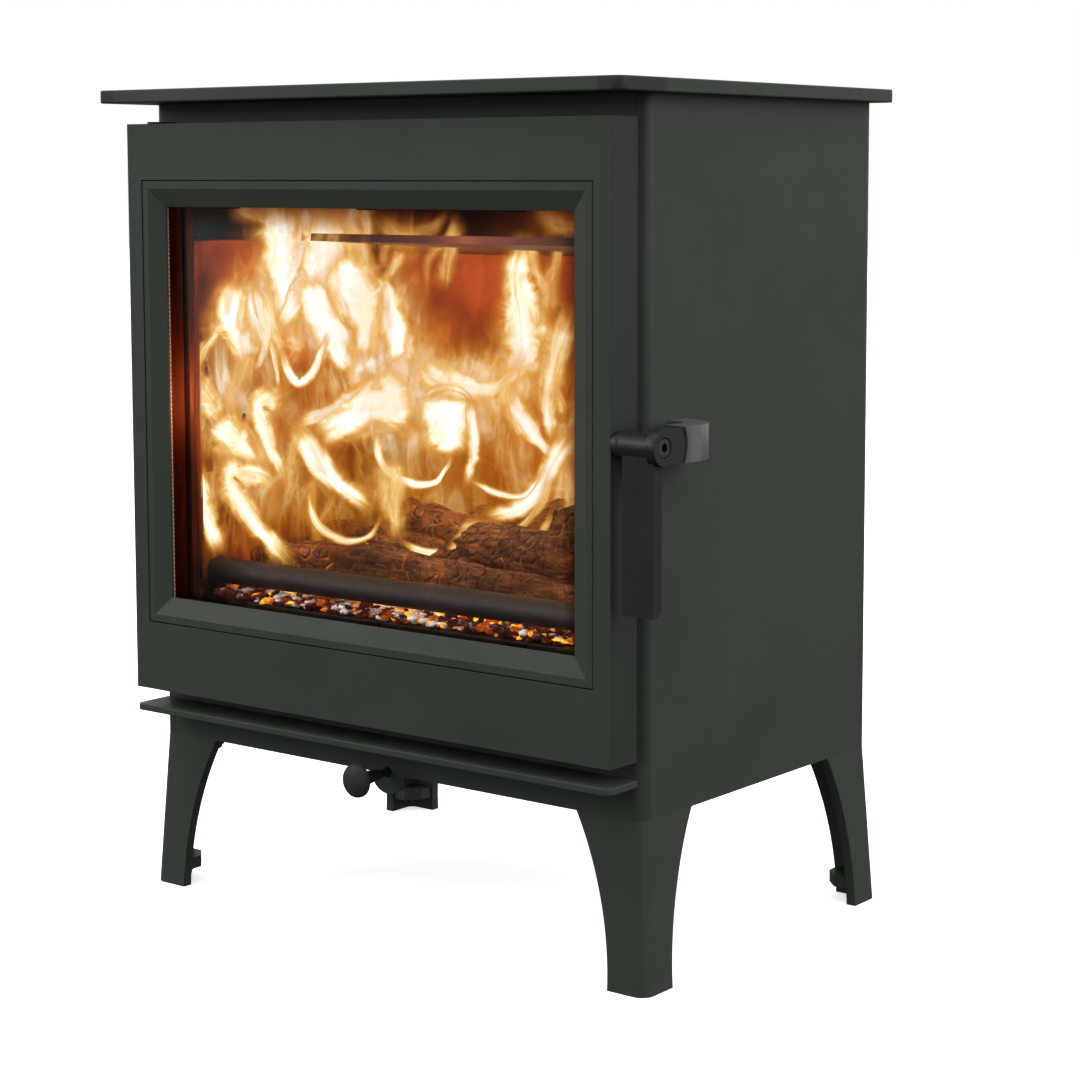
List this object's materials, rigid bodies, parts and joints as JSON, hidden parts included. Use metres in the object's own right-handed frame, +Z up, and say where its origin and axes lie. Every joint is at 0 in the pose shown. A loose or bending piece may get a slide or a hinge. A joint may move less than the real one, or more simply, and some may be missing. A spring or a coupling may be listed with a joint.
{
  "type": "wood burning stove",
  "caption": "Free-standing wood burning stove on splayed legs: glazed side-hung door, lift-up handle, pull-rod air control, firebrick-lined firebox, rear flue collar.",
  "frame": {"origin": "on the floor, under the middle of the whole outline", "axes": "+X to the right seen from the front, +Y to the back, +Z up; the door faces -Y"},
  "size_m": [0.5318, 0.3936, 0.64],
  "materials": {
    "stove_paint": "satin dark green-grey stove paint",
    "black_fittings": "matt black stove paint",
    "cast_iron": "dark, heat-scaled",
    "plain_steel": "mill-finish plate, dulled by heat",
    "fasteners": "blackened steel",
    "brass_washer": "plain",
    "fire_brick": "rough vermiculite-faced firebrick",
    "stove_glass": "clear glass-ceramic",
    "sealing_rope": "knitted glass rope"
  },
  "bodies": {
    "stove": {"body_wrap": "stove_paint", "back_panel": "stove_paint", "hob_plate": "stove_paint", "outlet_cover": "stove_paint", "ash_lip": "stove_paint", "leg_front_left": "stove_paint", "leg_front_right": "stove_paint", "leg_rear_left": "stove_paint", "leg_rear_right": "stove_paint", "latch_keeper": "stove_paint", "hinge_lug_upper": "black_fittings", "hinge_lug_lower": "black_fittings", "fire_bed_frame": "cast_iron", "grate": "cast_iron", "log_guard": "cast_iron", "flue_collar": "cast_iron", "collar_flange": "cast_iron", "baffle_plate": "cast_iron", "base_plate": "plain_steel", "corner_gussets": "plain_steel", "airwash_deflector": "plain_steel", "rear_air_duct": "plain_steel", "air_box": "plain_steel", "ash_pan": "plain_steel", "ash_pan_handle": "plain_steel", "collar_screws": "fasteners", "leg_bolts": "fasteners", "levelling_screws": "fasteners", "hinge_pins": "fasteners", "keeper_screws": "fasteners", "hinge_washer": "brass_washer", "firebrick_left": "fire_brick", "firebrick_right": "fire_brick", "firebrick_rear": "fire_brick"},
    "door": {"door_frame": "stove_paint", "door_bezel": "stove_paint", "door_glass": "stove_glass", "glass_gasket": "sealing_rope", "door_seal": "sealing_rope", "glass_clips": "fasteners", "clip_screws": "fasteners", "handle_bush": "stove_paint", "handle_bolt": "fasteners"},
    "handle": {"handle_head": "stove_paint", "handle_grip": "black_fittings", "grip_screws": "fasteners"},
    "air_control": {"air_rod": "black_fittings", "air_knob": "black_fittings", "air_slide": "plain_steel"}
  },
  "joints": [
    {"name": "door_hinge", "type": "hinge", "parent": "stove", "child": "door", "pos_m": [-0.23885, -0.16125, 0.3905], "axis": [0, 0, -1], "range_deg": [0, 110]},
    {"name": "handle_lift", "type": "hinge", "parent": "door", "child": "handle", "pos_m": [0.24565, -0.17475, 0.392], "axis": [-1, 0, 0], "range_deg": [0, 80]},
    {"name": "air_control_slide", "type": "slide", "parent": "stove", "child": "air_control", "axis": [0, -1, 0], "range_m": [-0.008, 0.03]}
  ]
}
